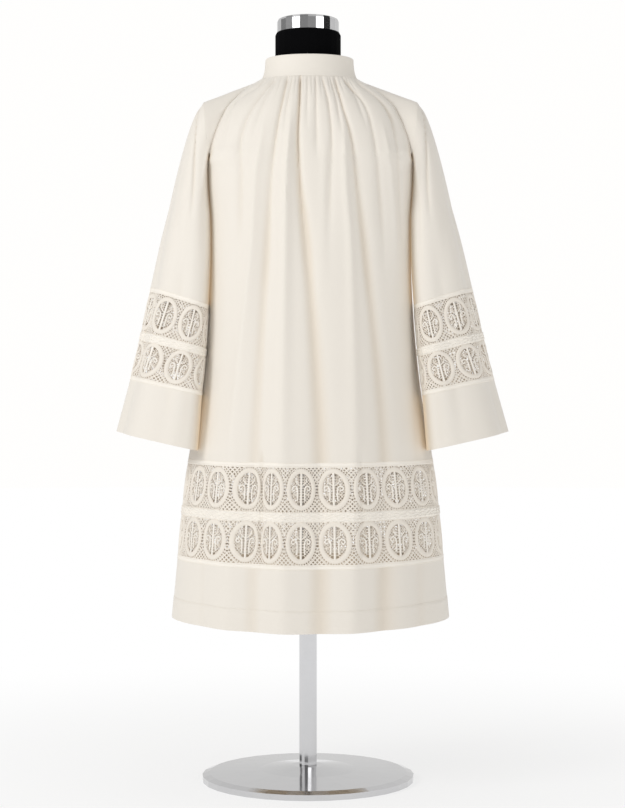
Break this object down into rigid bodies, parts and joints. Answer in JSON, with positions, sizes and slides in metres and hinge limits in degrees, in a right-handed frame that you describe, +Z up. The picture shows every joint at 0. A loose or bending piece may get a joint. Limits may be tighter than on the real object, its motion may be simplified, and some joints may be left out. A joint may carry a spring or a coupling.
{
  "type": "surplice on dress form",
  "caption": "Gathered surplice with a stand collar, bell sleeves and bands of lace, hanging on a limbless dress form with a round base.",
  "frame": {"origin": "centre of the round base's underside, on the floor", "axes": "+Z up along the form's pole; the garment's back faces -Y; +X is its right side seen from behind"},
  "size_m": [0.707, 0.3837, 1.367],
  "materials": {
    "ivory_cloth": "soft satin weave",
    "lace_thread": "matt cotton lace",
    "form_cover": "black jersey",
    "chrome": "polished"
  },
  "bodies": {
    "root": {"collar": "ivory_cloth", "back": "ivory_cloth", "front_left": "ivory_cloth", "front_right": "ivory_cloth", "yoke_left": "ivory_cloth", "yoke_right": "ivory_cloth", "sleeve_left": "ivory_cloth", "sleeve_right": "ivory_cloth", "cuff_left": "ivory_cloth", "cuff_right": "ivory_cloth", "hem_back": "ivory_cloth", "hem_front": "ivory_cloth", "lace_back": "lace_thread", "lace_front": "lace_thread", "sleeve_lace_left_back": "lace_thread", "sleeve_lace_left_front": "lace_thread", "sleeve_lace_right_back": "lace_thread", "sleeve_lace_right_front": "lace_thread", "form_torso": "form_cover", "form_neck": "form_cover", "neck_cap": "chrome", "pole": "chrome", "base": "chrome"}
  },
  "joints": []
}
